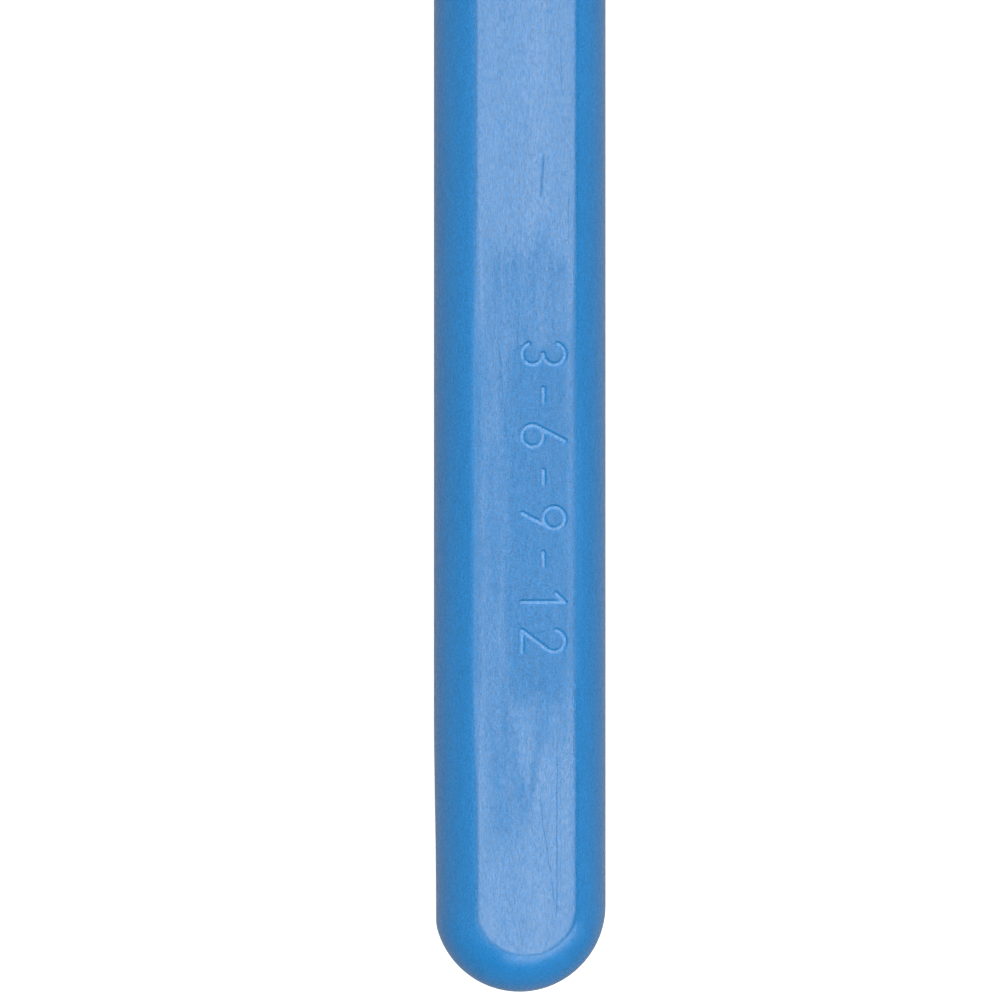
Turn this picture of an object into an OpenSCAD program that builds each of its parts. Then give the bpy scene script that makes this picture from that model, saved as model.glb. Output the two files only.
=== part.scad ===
// Periodontal probe with a flat-sided moulded handle and an insert-moulded steel working end.
// Frame: +Y runs from the butt to the working end, +Z is up through the front flat,
// and the origin is the middle of the back flat, on which the instrument lies.

/* [Handle] */
// Length of the moulded handle, butt to nose
handle_length = 125; // [100:1:150]
// Width across the rounded sides
handle_width = 8; // [6.6:0.1:9.6]
// Thickness between the front and back flats
handle_thickness = 5.2; // [4.4:0.1:6.3]
// Width of the front and back flats
flat_width = 4.65; // [3.8:0.05:5.6]
// Length of the nose, which narrows to meet the shank
nose_length = 17; // [13:0.5:21]
// Diameter of the nose at its end
nose_diameter = 4.2; // [3.8:0.1:5]
// Chamfer round the nose's end
nose_chamfer = 0.4; // [0.2:0.05:0.5]
// How far outside the rounded side the nose's long arc starts
nose_lead = 0.3; // [0.1:0.05:0.6]

/* [Finger grip] */
// Number of grooves round the handle behind the nose
grip_grooves = 9; // [5:1:12]
// Width of each groove along the handle
groove_width = 0.9; // [0.6:0.05:1.1]
// Depth of each groove
groove_depth = 0.3; // [0.15:0.05:0.4]
// Distance from one groove to the next
groove_pitch = 2.2; // [1.8:0.1:2.6]
// Plain length between the nose and the first groove
grip_margin = 2.5; // [1:0.5:5]

/* [Depth legend] */
// Height of the moulded figures, between the middles of their strokes
figure_height = 2; // [1.6:0.05:2.4]
// Width of a figure's stroke
stroke_width = 0.28; // [0.2:0.02:0.34]
// How far the figures stand out of the front flat
relief = 0.12; // [0.08:0.01:0.2]
// Distance from one figure to the next along the handle
figure_pitch = 1.9; // [1.7:0.05:2.2]
// Distance from the butt's end to the legend's end
legend_from_butt = 14.9; // [12:0.1:24]
// Distance from the figures' tops to the flat's edge
legend_margin = 0.4; // [0.3:0.05:0.6]

/* [Steel shank] */
// Diameter of the steel where it leaves the nose, and inside the handle
shank_diameter = 2.6; // [2.1:0.05:3.1]
// Length of the tang held in the handle
tang_length = 34; // [28:1:42]
// Depth of the retaining grooves in the tang
tang_groove_depth = 0.3; // [0.2:0.05:0.4]
// Depth of the two flats that stop the tang turning
tang_flat_depth = 0.35; // [0.2:0.05:0.45]
// Straight neck in front of the nose
neck_length = 11; // [8:0.5:14]
// Diameter at the front of the neck, through the first bend
neck_diameter = 1.9; // [1.6:0.05:2.3]
// Angle of the first bend, away from the tip's side
first_bend = 20; // [10:1:30]
// Radius of the first bend's middle line
first_bend_radius = 10; // [6:0.5:14]
// Straight arm between the two bends
arm_length = 9.5; // [7:0.5:12]
// Diameter at the front of the arm, through the second bend
arm_diameter = 1.25; // [1.05:0.05:1.5]
// Angle of the second bend, which turns the tip across the handle's line
second_bend = 75; // [60:1:90]
// Radius of the second bend's middle line
second_bend_radius = 3.2; // [2.4:0.1:4.2]

/* [Calibrated tip] */
// Length of the straight calibrated tip
tip_length = 16; // [14:0.5:19]
// Diameter where the tip meets the ball
tip_diameter = 0.42; // [0.35:0.01:0.5]
// Diameter of the ball at the very end
ball_diameter = 0.55; // [0.52:0.01:0.66]
// Distance from the ball's end to the first depth mark, and between marks
mark_step = 3; // [2.5:0.1:3.5]
// Depth of the recess that each black band fills
band_depth = 0.06; // [0.04:0.005:0.08]

/* [Clearances] */
// Gap between the steel tang and the moulding
tang_gap = 0.02; // [0.01:0.005:0.04]
// Gap between a band and its recess
band_gap = 0.005; // [0.003:0.001:0.01]

/* [Hidden] */
$fn = 96;

handle_blue = "#3482c5";
steel = "#c9ccd0";
band_black = "#1b1c1f";

butt_end = -handle_length / 2;
butt_centre = butt_end + handle_width / 2;
nose_end = handle_length / 2;
nose_start = nose_end - nose_length;
middle = handle_thickness / 2;

// The rounded side is one arc, upright at mid thickness, that meets the flat's edge.
side_inset = (handle_width - flat_width) / 2;
side_radius = (pow(side_inset, 2) + pow(middle, 2)) / (2 * side_inset);

// The nose is turned to one long arc that starts just outside the handle's side.
nose_start_radius = handle_width / 2 + nose_lead;
nose_drop = nose_start_radius - nose_diameter / 2;
nose_arc_radius = (pow(nose_length, 2) + pow(nose_drop, 2)) / (2 * nose_drop);
nose_arc_facets = 720;

grip_front = nose_start - grip_margin;

// The legend's row of cells: where it ends along the handle, and where its baseline is.
legend_end = butt_end + legend_from_butt;
legend_cells = 8;
legend_base = flat_width / 2 - legend_margin - stroke_width / 2 - figure_height;
round_end_facets = 24;
curve_facets = 64;

// The tang's retaining grooves and flats sit at its inner end.
tang_grooves = 3;
tang_groove_width = 1.2;
tang_groove_pitch = 2.6;
tang_flat_length = 9;

// The calibrated tip grows evenly from the ball to its base.
tip_slope = (arm_diameter - tip_diameter) / 2 / tip_length;
function tip_radius(from_end) = tip_diameter / 2 + tip_slope * from_end;
banded_from = [1, 3]; // each black band runs from this mark to the next

over = 1; // how far a cutting solid runs past what it cuts
joint_swell = 0.01; // how much wider than the wire each joint between two stretches of it is

// ---------------------------------------------------------------- handle

// Cross-section of the handle, reduced all round by inset.
module handle_section(inset = 0) {
    flat_half = flat_width / 2;
    half_width = handle_width / 2;
    half_height = middle - inset;
    square([2 * flat_half, 2 * half_height], center = true);
    for (side = [0, 1])
        mirror([side, 0])
            intersection() {
                translate([half_width - side_radius, 0]) circle(side_radius - inset);
                translate([0, -half_height]) square([half_width, 2 * half_height]);
            }
}

// The section as a straight bar along +Y, standing on z = 0.
module bar(from, to, inset = 0) {
    translate([0, to, middle])
        rotate([90, 0, 0])
            linear_extrude(to - from) handle_section(inset);
}

// The half-round butt: the section's right half turned through half a circle.
module butt() {
    translate([0, butt_centre, middle])
        rotate([0, 0, 180])
            rotate_extrude(angle = 180)
                intersection() {
                    handle_section();
                    translate([0, -middle]) square([handle_width, handle_thickness]);
                }
}

// Profile of the nose: radius along x, distance in front of the nose's start along y.
module nose_profile() {
    difference() {
        intersection() {
            square([nose_start_radius, nose_length]);
            translate([nose_start_radius - nose_arc_radius, 0]) circle(nose_arc_radius, $fn = nose_arc_facets);
        }
        translate([nose_diameter / 2 - nose_chamfer, nose_length])
            rotate(-45) square(2 * nose_chamfer);
    }
}

module nose() {
    intersection() {
        bar(nose_start, nose_end);
        translate([0, nose_start, middle])
            rotate([-90, 0, 0]) rotate_extrude() nose_profile();
    }
}

// One groove: what lies between the full section and the reduced one.
module grip_groove(at) {
    difference() {
        translate([-handle_width, at - groove_width / 2, -over])
            cube([2 * handle_width, groove_width, handle_thickness + 2 * over]);
        bar(at - groove_width, at + groove_width, groove_depth);
    }
}

// A straight stroke from one point to another, with round ends.
module stroke(from, to) {
    run = to - from;
    for (end = [from, to])
        translate(end) circle(d = stroke_width, $fn = round_end_facets);
    translate(from)
        rotate(atan2(run.y, run.x))
            translate([0, -stroke_width / 2]) square([norm(run), stroke_width]);
}

// A curved stroke round centre, from one angle to a larger one.
module arc_stroke(centre, radius, from, to) {
    reach = 2 * radius;
    translate(centre) {
        intersection() {
            difference() {
                circle(radius + stroke_width / 2, $fn = curve_facets);
                circle(radius - stroke_width / 2, $fn = curve_facets);
            }
            polygon([[0, 0], for (step = [0 : 4])
                let (a = from + (to - from) * step / 4) reach * [cos(a), sin(a)]]);
        }
        for (a = [from, to])
            translate(radius * [cos(a), sin(a)]) circle(d = stroke_width, $fn = round_end_facets);
    }
}

// The figures stand on their baseline, in a cell whose left edge is x = 0. Each is drawn in
// straight strokes, between shares of the cell's width, and round bowls a quarter of its height.
figure_width = figure_height / 2;
bowl = figure_height / 4;
function cell_x(share) = figure_width * share;

module figure_one() {
    stroke([cell_x(0.6), 0], [cell_x(0.6), figure_height]);
    stroke([cell_x(0.6), figure_height], [cell_x(0.2), figure_height * 0.8]);
}

module figure_two() {
    start = 170; // where the top curve starts and where it turns into the slope
    turn = -35;
    top = [cell_x(0.5), figure_height - bowl];
    arc_stroke(top, bowl, turn, start);
    stroke(top + bowl * [cos(turn), sin(turn)], [0, 0]);
    stroke([0, 0], [cell_x(1), 0]);
}

module figure_three() {
    reach = 160; // how far round each bowl's stroke runs past the right
    arc_stroke([cell_x(0.5), bowl], bowl, -reach, 90);
    arc_stroke([cell_x(0.5), figure_height - bowl], bowl, -90, reach);
}

module figure_six() {
    leave = 160; // where the stem leaves the bowl, as an angle round it
    translate([cell_x(0.5), bowl]) {
        difference() {
            circle(bowl + stroke_width / 2, $fn = curve_facets);
            circle(bowl - stroke_width / 2, $fn = curve_facets);
        }
        stroke(bowl * [cos(leave), sin(leave)], [cell_x(0.22), figure_height - bowl]);
    }
}

module figure_nine() {
    translate([figure_width, figure_height]) rotate(180) figure_six();
}

module figure_dash() {
    stroke([cell_x(0.2), figure_height / 2], [cell_x(0.8), figure_height / 2]);
}

// 3-6-9-12, read from the nose towards the butt, with the figures' tops to +X.
module depth_legend() {
    translate([legend_base, legend_end, handle_thickness - over])
        rotate([0, 0, -90])
            linear_extrude(over + relief)
                for (cell = [0 : legend_cells - 1])
                    translate([(cell - legend_cells) * figure_pitch, 0]) {
                        if (cell == 0) figure_three();
                        if (cell == 1 || cell == 3 || cell == 5) figure_dash();
                        if (cell == 2) figure_six();
                        if (cell == 4) figure_nine();
                        if (cell == 6) figure_one();
                        if (cell == 7) figure_two();
                    }
}

module handle() {
    color(handle_blue)
        difference() {
            union() {
                butt();
                bar(butt_centre, nose_start);
                nose();
                depth_legend();
            }
            for (groove = [0 : grip_grooves - 1])
                grip_groove(grip_front - groove * groove_pitch);
            tang(tang_gap);
        }
}

// ---------------------------------------------------------------- steel working end

// A round taper along +Y.
module taper(length, start_radius, end_radius) {
    rotate([-90, 0, 0]) cylinder(h = length, r1 = start_radius, r2 = end_radius);
}

// A bend of one thickness that starts along +Y and turns towards +X.
module bend(radius, angle, thickness) {
    translate([radius, 0, 0])
        rotate([0, 0, 180 - angle])
            rotate_extrude(angle = angle)
                translate([radius, 0]) circle(d = thickness);
}

// The round joint that two stretches of wire share where they meet end to end.
module wire_joint(thickness) {
    sphere(d = thickness + joint_swell);
}

// Moves what follows to the end of such a bend.
module past_bend(radius, angle) {
    translate([radius, 0, 0])
        rotate([0, 0, -angle])
            translate([-radius, 0, 0]) children();
}

// The part of the steel inside the handle, grown by gap to make its seat.
module tang(gap = 0) {
    radius = shank_diameter / 2;
    inner_end = nose_end - tang_length;
    difference() {
        translate([0, inner_end - gap, middle])
            taper(tang_length + gap + (gap > 0 ? over : 0), radius + gap, radius + gap);
        for (groove = [1 : tang_grooves])
            translate([0, inner_end + tang_flat_length + groove * tang_groove_pitch + gap, middle])
                rotate([-90, 0, 0])
                    difference() {
                        cylinder(h = tang_groove_width - 2 * gap, r = radius + over);
                        translate([0, 0, -over])
                            cylinder(h = tang_groove_width + 2 * over, r = radius - tang_groove_depth + gap);
                    }
        for (side = [-1, 1])
            translate([side * (radius - tang_flat_depth + gap + over), inner_end + tang_flat_length / 2 - gap, middle])
                cube([2 * over, tang_flat_length, 2 * shank_diameter], center = true);
    }
}

module at_neck_front() {
    translate([0, nose_end + neck_length, middle]) children();
}

// Where the arm starts: the end of the first bend, facing along the arm.
module at_arm_base() {
    at_neck_front()
        mirror([1, 0, 0])
            past_bend(first_bend_radius, first_bend)
                mirror([1, 0, 0]) children();
}

// Where the calibrated tip starts: the end of the second bend, facing along the tip.
module at_tip_base() {
    at_arm_base()
        translate([0, arm_length, 0])
            past_bend(second_bend_radius, second_bend) children();
}

// A slice of the calibrated tip between two distances from the ball's end, reduced by inset.
module tip_slice(near, far, inset = 0) {
    translate([0, tip_length - far, 0])
        taper(far - near, tip_radius(far) - inset, tip_radius(near) - inset);
}

// A ring cut round the tip between two depth marks.
module band_ring(near, far, inner_inset) {
    difference() {
        tip_slice(near, far);
        translate([0, tip_length - far - over, 0])
            taper(far - near + 2 * over,
                tip_radius(far + over) - inner_inset, tip_radius(near - over) - inner_inset);
    }
}

// The same ring with room outside it, to cut the band's recess.
module band_recess(near, far) {
    difference() {
        translate([0, tip_length - far, 0]) taper(far - near, arm_diameter, arm_diameter);
        translate([0, tip_length - far - over, 0])
            taper(far - near + 2 * over,
                tip_radius(far + over) - band_depth, tip_radius(near - over) - band_depth);
    }
}

module depth_band(first_mark) {
    near = first_mark * mark_step;
    color(band_black)
        at_tip_base()
            band_ring(near + band_gap, near + mark_step - band_gap, band_depth - band_gap);
}

module calibrated_tip() {
    ball_centre = ball_diameter / 2;
    difference() {
        tip_slice(ball_centre, tip_length);
        for (first_mark = banded_from)
            band_recess(first_mark * mark_step, (first_mark + 1) * mark_step);
    }
    translate([0, tip_length - ball_centre, 0]) sphere(d = ball_diameter);
}

module probe_shank() {
    color(steel) {
        tang();
        translate([0, nose_end, middle])
            taper(neck_length, shank_diameter / 2, neck_diameter / 2);
        at_neck_front() {
            wire_joint(neck_diameter);
            mirror([1, 0, 0]) bend(first_bend_radius, first_bend, neck_diameter);
        }
        at_arm_base() {
            wire_joint(neck_diameter);
            taper(arm_length, neck_diameter / 2, arm_diameter / 2);
            translate([0, arm_length, 0]) {
                wire_joint(arm_diameter);
                bend(second_bend_radius, second_bend, arm_diameter);
            }
        }
        at_tip_base() {
            wire_joint(arm_diameter);
            calibrated_tip();
        }
    }
}

handle();
probe_shank();
depth_band(banded_from[0]);  // depth_band_3_6
depth_band(banded_from[1]);  // depth_band_9_12
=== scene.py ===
import math

import bmesh
import bpy
import numpy as np
from mathutils import Matrix, Vector


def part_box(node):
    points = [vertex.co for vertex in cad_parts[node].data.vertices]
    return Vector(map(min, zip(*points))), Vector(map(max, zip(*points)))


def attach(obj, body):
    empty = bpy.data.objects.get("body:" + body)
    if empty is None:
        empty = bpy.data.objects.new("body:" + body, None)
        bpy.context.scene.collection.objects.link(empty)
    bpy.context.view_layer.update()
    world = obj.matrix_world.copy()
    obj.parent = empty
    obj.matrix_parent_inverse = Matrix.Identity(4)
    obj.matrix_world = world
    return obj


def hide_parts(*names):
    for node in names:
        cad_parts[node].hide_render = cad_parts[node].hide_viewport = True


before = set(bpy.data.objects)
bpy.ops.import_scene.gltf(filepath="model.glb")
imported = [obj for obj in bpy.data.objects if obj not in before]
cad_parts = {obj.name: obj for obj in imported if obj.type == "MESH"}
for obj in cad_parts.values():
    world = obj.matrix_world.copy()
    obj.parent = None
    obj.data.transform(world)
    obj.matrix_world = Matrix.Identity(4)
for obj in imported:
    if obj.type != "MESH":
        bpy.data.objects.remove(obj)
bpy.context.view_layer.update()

# Shapes below are worked out in millimetres, and become metres when they are put into a mesh.
# +Y runs from the butt to the working end, +Z is up out of the front flat, z = 0 is the back flat.
metresPerMm = 0.001


# Helpers for arrays and meshes.

def steps(start, stop, longest):
    # Even values from start to stop, no further apart than longest.
    count = max(1, math.ceil(abs(stop - start) / longest))
    return np.linspace(start, stop, count + 1)


def ease(value):
    # Smooth step: 0 below 0, 1 above 1, and 3v^2 - 2v^3 between.
    v = np.clip(value, 0, 1)
    return v * v * (3 - 2 * v)


def hill(distance, width):
    # exp(-(distance / width)^2): 1 in the middle, fading smoothly on both sides.
    return np.exp(-(distance / width) ** 2)


def softMin(a, b, reach):
    # The smaller of two values, rounded where they come within reach of each other.
    overlap = np.clip(reach - np.abs(a - b), 0, None) / reach
    return np.minimum(a, b) - overlap ** 2 * reach / 4


def gridFaces(rows, columns):
    # Quads between neighbours of a grid of points numbered row by row.
    index = np.arange(rows * columns).reshape(rows, columns)
    quads = [index[:-1, :-1], index[:-1, 1:], index[1:, 1:], index[1:, :-1]]
    return np.stack(quads, axis=-1).reshape(-1, 4)


def welded(points, quads, closeness=1e-5):
    # Points that coincide become one, and a quad that has lost a corner becomes a triangle.
    # Returns the points kept, and the faces both in kept numbers and in the numbers handed in.
    cells = np.round(points / closeness).astype(np.int64)
    _, first, kept = np.unique(cells, axis=0, return_index=True, return_inverse=True)
    kept = kept.ravel()
    faces = kept[quads]
    same = faces == np.roll(faces, -1, axis=1)
    whole = ~same.any(axis=1)
    corner = np.argmax(same, axis=1)
    threeSided = same.sum(axis=1) == 1
    pick = (corner[threeSided, None] + np.array([1, 2, 3])) % 4
    triangles = np.take_along_axis(quads[threeSided], pick, axis=1)
    sets = [quads[whole], triangles]
    return points[first], [kept[s] for s in sets], sets


def makePiece(name, points, quads, uv=None, sharpAngle=40):
    # A mesh object at the origin from points in millimetres. The faces are turned outwards, by the
    # sign of the volume they enclose: the sum of corner . (corner x corner) / 6 over all triangles.
    places, faceSets, sourceSets = welded(points, quads)
    fan = [s[:, [0, i, i + 1]] for s in faceSets for i in range(1, s.shape[1] - 1)]
    a, b, c = (places[np.concatenate(fan)[:, i]] for i in range(3))
    if np.sum(a * np.cross(b, c)) < 0:
        faceSets = [s[:, ::-1] for s in faceSets]
        sourceSets = [s[:, ::-1] for s in sourceSets]
    mesh = bpy.data.meshes.new(name)
    faces = [face for s in faceSets for face in s.tolist()]
    mesh.from_pydata((places * metresPerMm).tolist(), [], faces)
    if uv is not None:
        layer = mesh.uv_layers.new(name="alongSurface")
        corners = np.concatenate([uv[s].reshape(-1, 2) for s in sourceSets])
        layer.data.foreach_set("uv", corners.astype(np.float32).ravel())
    mesh.shade_smooth()
    mesh.set_sharp_from_angle(angle=math.radians(sharpAngle))
    piece = bpy.data.objects.new(name, mesh)
    bpy.context.scene.collection.objects.link(piece)
    return piece


def readPoints(mesh):
    values = np.empty(len(mesh.vertices) * 3, np.float32)
    mesh.vertices.foreach_get("co", values)
    return values.reshape(-1, 3).astype(float) / metresPerMm


# The moulded handle.

handleLow, handleHigh = (np.array(corner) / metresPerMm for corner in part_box("handle"))

legend = {
    "boxRelief": 0.12,  # how far the figures raise the handle's box above the front flat
    "relief": 0.05,  # how far the skin's figures stand out of it
    "figureHeight": 2.0,
    "strokeTop": 0.05,  # half the width of a stroke's rounded top
    "strokeFoot": 0.18,  # half its width where it runs out into the flat
    "pitch": 1.9,
    "fromButt": 14.9,
    "margin": 0.4,  # from the figures' tops to the flat's edge
    "strokeWidth": 0.28,
    "softReach": 13.6,  # how far from its middle the softer edges beside it reach
    "softFade": 5.5,
    "cellSize": 0.3,  # of the skin's cells under the figures, before they are divided
    "cuts": 7,
}

handle = {
    "width": handleHigh[0] - handleLow[0],
    "thickness": handleHigh[2] - legend["boxRelief"],
    "buttEnd": handleLow[1],
    "noseEnd": handleHigh[1],
    "flatWidth": 4.59,
    "noseLength": 17.0,
    "noseDiameter": 4.2,
    "noseLead": 0.3,  # how far outside the side the nose's long arc starts
    "lipRound": 0.4,
    "noseBlend": 0.25,  # rounding where the nose's arc cuts the flats
    "gripGrooves": 9,
    "groovePitch": 2.2,
    "grooveWidth": 0.9,
    "grooveDepth": 0.28,
    "grooveFlank": 0.16,  # length over which a groove's wall rises
    "gripMargin": 2.5,
    "edgeSoftness": 0.05,  # half the width of the rounding between a flat and the left side
    "rightSoftness": 0.16,  # the same on the right
    "legendSoftness": 0.3,  # the same beside the legend, where the mould was worked
    "sink": 0.015,  # how far the middle of each flat has sunk in cooling
    "flatEnd": 0.965,  # each flat's end at the butt lies this much nearer the butt's centre
    "buttNarrowing": 0.975,  # the left side draws in a little before the butt
    "narrowingLength": 9.0,
    "partingRidge": 0.018,
    "partingHalfWidth": 0.07,
    # The longest step between rows of points along each stretch.
    "noseStep": 0.45,
    "gripStep": 0.14,
    "bodyStep": 1.5,
    "buttStep": 0.6,
    "buttTurns": 49,  # columns of points round the butt, with both ends
}

seat = {
    "gap": 0.02,  # between the moulding and the tang
    "radius": 1.32,
    "ribRadius": 1.02,
    "flatDistance": 0.97,
    "length": 34.02,
    "flatLength": 9.0,
    "ribPitch": 2.6,
    "ribWidth": 1.16,
    "ribs": 3,
}

handleHalf, thickness = handle["width"] / 2, handle["thickness"]
wide = 99.0  # a disc radius that cuts nothing off the section
noseStart = handle["noseEnd"] - handle["noseLength"]
seatEnd = handle["noseEnd"] - seat["length"]
buttCentre = handle["buttEnd"] + handleHalf
legendEnd = handle["buttEnd"] + legend["fromButt"]
legendMiddle = legendEnd + 4 * legend["pitch"]


def stations(y, disc=wide, inset=0.0):
    # Rows of [y, disc radius, inset]; whichever are single numbers are repeated.
    return np.stack(np.broadcast_arrays(np.atleast_1d(y).astype(float), disc, inset), axis=-1)


def noseRadius(y):
    # One arc of a circle: it starts just outside the side and falls to the nose's end.
    drop = handleHalf + handle["noseLead"] - handle["noseDiameter"] / 2
    radius = (handle["noseLength"] ** 2 + drop ** 2) / (2 * drop)
    return handleHalf + handle["noseLead"] - radius + np.sqrt(radius ** 2 - (y - noseStart) ** 2)


def grooveInset(y):
    # Depth times a smooth step up and down about the middle of the nearest groove.
    first = noseStart - handle["gripMargin"]
    number = np.clip(np.round((first - y) / handle["groovePitch"]), 0, handle["gripGrooves"] - 1)
    offset = np.abs(y - (first - number * handle["groovePitch"]))
    outside = (handle["grooveWidth"] + handle["grooveFlank"]) / 2 - offset
    return handle["grooveDepth"] * ease(outside / handle["grooveFlank"])


def besideLegend(y):
    # 1 along the legend and 0 from some millimetres past its ends.
    return ease((legend["softReach"] - np.abs(y - legendMiddle)) / legend["softFade"])


def handleStations():
    # From the bottom of the tang's seat out to the nose, over its lip, and down to the butt's centre.
    ribStart = seatEnd + seat["flatLength"] + seat["ribPitch"] + 2 * seat["gap"]
    ribs = [stations([y, y, y + seat["ribWidth"], y + seat["ribWidth"]],
                     [seat["radius"], seat["ribRadius"], seat["ribRadius"], seat["radius"]])
            for y in ribStart + seat["ribPitch"] * np.arange(seat["ribs"])]
    lipCentre = handle["noseEnd"] - handle["lipRound"]
    lipRadius = handle["noseDiameter"] / 2 - handle["lipRound"]
    turn = np.linspace(math.pi / 2, 0, 8)
    noseRows = steps(lipCentre, noseStart, handle["noseStep"])
    gripFront = noseStart - handle["gripMargin"] + handle["groovePitch"] / 2
    gripBack = gripFront - handle["gripGrooves"] * handle["groovePitch"]
    gripRows = steps(gripFront, gripBack, handle["gripStep"])
    legendBack = legendEnd - 2 * legend["cellSize"]
    legendFront = legendBack + 8 * legend["pitch"] + 4 * legend["cellSize"]
    return np.concatenate([
        stations([seatEnd, seatEnd], [0, seat["radius"]]),
        stations([seatEnd + seat["flatLength"] - seat["gap"]] * 2, seat["radius"]),
        *ribs,
        stations([handle["noseEnd"]] * 2, [seat["radius"], lipRadius]),
        stations(lipCentre + handle["lipRound"] * np.sin(turn[1:]),
                 lipRadius + handle["lipRound"] * np.cos(turn[1:])),
        stations(noseRows[1:], noseRadius(noseRows[1:])),
        stations(steps(noseRows[-1], gripFront, 0.5)[1:]),
        stations(gripRows[1:], wide, grooveInset(gripRows[1:])),
        stations(steps(gripBack, legendFront, handle["bodyStep"])[1:]),
        stations(steps(legendFront, legendBack, legend["cellSize"])[1:]),
        stations(steps(legendBack, buttCentre, handle["buttStep"])[1:]),
    ])


def sectionColumns():
    # Places round half the section: 0 to 1 across the front flat, 1 to 2 round the side, and 2 to 3
    # across the back. They lie closer together near the flats' edges and the parting line.
    halfFlat = handle["flatWidth"] / 2
    front = np.concatenate([np.arange(0, 1.8, 0.3), [1.8, 1.95, 2.1, 2.175, 2.25, 2.29]]) / halfFlat
    nearEdge = np.array([0, 0.006, 0.012, 0.024, 0.036, 0.05, 0.07, 0.1])
    ridge = 0.5 + np.array([-0.02, -0.01, -0.005, 0, 0.005, 0.01, 0.02])
    between = steps(0.14, 0.44, 0.045)
    side = np.concatenate([nearEdge, between, ridge, between + 0.42, 1 - nearEdge[::-1]])
    back = np.array([1, 0.984, 0.968, 0.936, 0.903, 0.84, 0.72, 0.6, 0.48, 0.36, 0.24, 0.12, 0])
    return np.concatenate([front, 1 + side, 3 - back[1:]])


def handleSection(columns, inset, softness):
    # Half the section, as distance from the middle plane and height above mid thickness. The flats lie
    # at half the thickness less the inset, and the side is an arc, upright at mid thickness, that meets
    # their edges. Each edge is then cut back by (reach - distance)^2 / reach, which rounds it.
    middle = thickness / 2
    drawIn = handleHalf - handle["flatWidth"] / 2
    sideRadius = (drawIn ** 2 + middle ** 2) / (2 * drawIn)
    height, radius = middle - inset, sideRadius - inset
    edgeAngle = np.arcsin(height / radius)
    edgeAcross = handleHalf - sideRadius + radius * np.cos(edgeAngle)
    angle = edgeAngle * (3 - 2 * columns)
    onSide = (columns >= 1) & (columns <= 2)
    share = np.where(columns < 1, columns, 3 - columns)
    across = np.where(onSide, handleHalf - sideRadius + radius * np.cos(angle), edgeAcross * share)
    up = np.where(onSide, radius * np.sin(angle), np.where(columns < 1, height, -height))
    roundSide = radius * edgeAngle * 2 * np.minimum(columns - 1, 2 - columns)
    toEdge = np.where(onSide, roundSide, edgeAcross * (1 - share))
    bend = np.pi / 2 - edgeAngle
    cut = np.tan(bend / 2) / (2 * softness) * np.clip(softness - toEdge, 0, None) ** 2
    lean = np.pi / 2 - bend / 2
    sign = np.where(columns < 1.5, 1, -1)
    across, up = across - cut * np.cos(lean), up - sign * cut * np.sin(lean)
    sunk = handle["sink"] * np.where(onSide, 0, 1 - share ** 2) ** 2
    fromParting = np.abs(columns - 1.5) * 2 * edgeAngle * radius
    ridge = handle["partingRidge"] * ease(1 - fromParting / handle["partingHalfWidth"])
    return across + np.where(inset > 0, 0, ridge), up - sign * sunk


def handleSkin():
    # The half section carried down the right side, turned half round at the butt, and back up the left.
    columns = sectionColumns()[None, :]
    rows = handleStations()
    y, disc, inset = rows[:, :1], rows[:, 1:2], rows[:, 2:3]
    towardsButt = ease((buttCentre + handle["narrowingLength"] - y) / handle["narrowingLength"])
    halves = []
    for edge in (handle["rightSoftness"], handle["edgeSoftness"]):
        softness = edge + (handle["legendSoftness"] - edge) * besideLegend(y)
        across, up = handleSection(columns, inset, softness)
        # The nose and the tang's seat: every point is drawn in along its own radius to the disc there.
        reach = np.hypot(across, up)
        drawn = softMin(reach, np.broadcast_to(disc, reach.shape), handle["noseBlend"]) / reach
        across, up = across * drawn, up * drawn
        besideFlats = y <= seatEnd + seat["flatLength"]
        inSeat = besideFlats & (disc < handle["noseDiameter"] / 2)
        halves.append((np.where(inSeat, np.minimum(across, seat["flatDistance"]), across), up))
    (rightX, rightUp), (leftX, leftUp) = halves
    leftX = -leftX * (1 - (1 - handle["buttNarrowing"]) * towardsButt)
    straightY = np.broadcast_to(y, rightX.shape)
    # The butt: x = distance * cosine, held within the narrowed left side, and y = centre - distance * sine.
    turn = np.linspace(0, np.pi, handle["buttTurns"])[1:-1, None]
    toRight = ease(1.6 * np.cos(turn))
    softness = handle["edgeSoftness"] + (handle["rightSoftness"] - handle["edgeSoftness"]) * toRight
    buttAcross, buttUp = handleSection(columns, np.zeros((1, 1)), softness)
    flatter = 1 - (1 - handle["flatEnd"]) * ease(2 * np.abs(columns - 1.5))
    held = -softMin(-np.cos(turn), np.full_like(turn, handle["buttNarrowing"]), 0.01)
    x = np.concatenate([rightX, buttAcross * held, leftX[::-1]])
    z = np.concatenate([rightUp, buttUp, leftUp[::-1]])
    yAll = np.concatenate([straightY, buttCentre - buttAcross * flatter * np.sin(turn), straightY[::-1]])
    points = np.stack([x, yAll, z + thickness / 2], axis=-1)
    return points.reshape(-1, 3), gridFaces(*x.shape)


# The depth legend, 3-6-9-12, raised on the front flat.

def arcPoints(centre, radius, start, stop):
    angle = np.radians(np.linspace(start, stop, 25))
    return np.column_stack([centre[0] + radius * np.cos(angle), centre[1] + radius * np.sin(angle)])


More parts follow.
